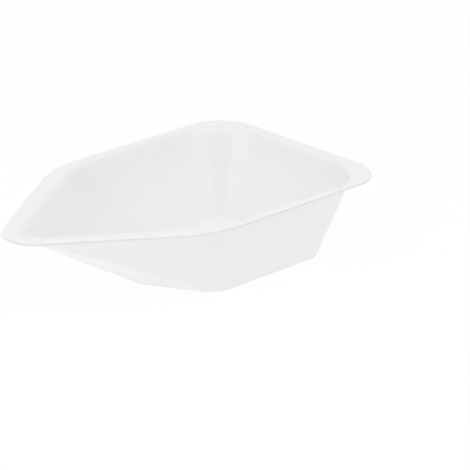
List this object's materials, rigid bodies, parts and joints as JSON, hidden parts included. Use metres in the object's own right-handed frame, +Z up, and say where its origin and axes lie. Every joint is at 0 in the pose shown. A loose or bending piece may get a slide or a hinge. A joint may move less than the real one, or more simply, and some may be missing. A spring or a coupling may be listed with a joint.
{
  "type": "weighing boat",
  "caption": "Shallow white plastic weighing boat with a flat base, slanting walls, a narrow flat rim, a square end and a tapered pouring point.",
  "frame": {"origin": "on the underside of the flat base, at the middle of the overall length and width", "axes": "+X along the length towards the pouring point, +Y across the width, +Z up out of the open top"},
  "size_m": [0.056, 0.034, 0.013],
  "materials": {
    "sheet": "smooth white polystyrene sheet with a soft satin sheen"
  },
  "bodies": {
    "root": {"dish": "sheet"}
  },
  "joints": []
}
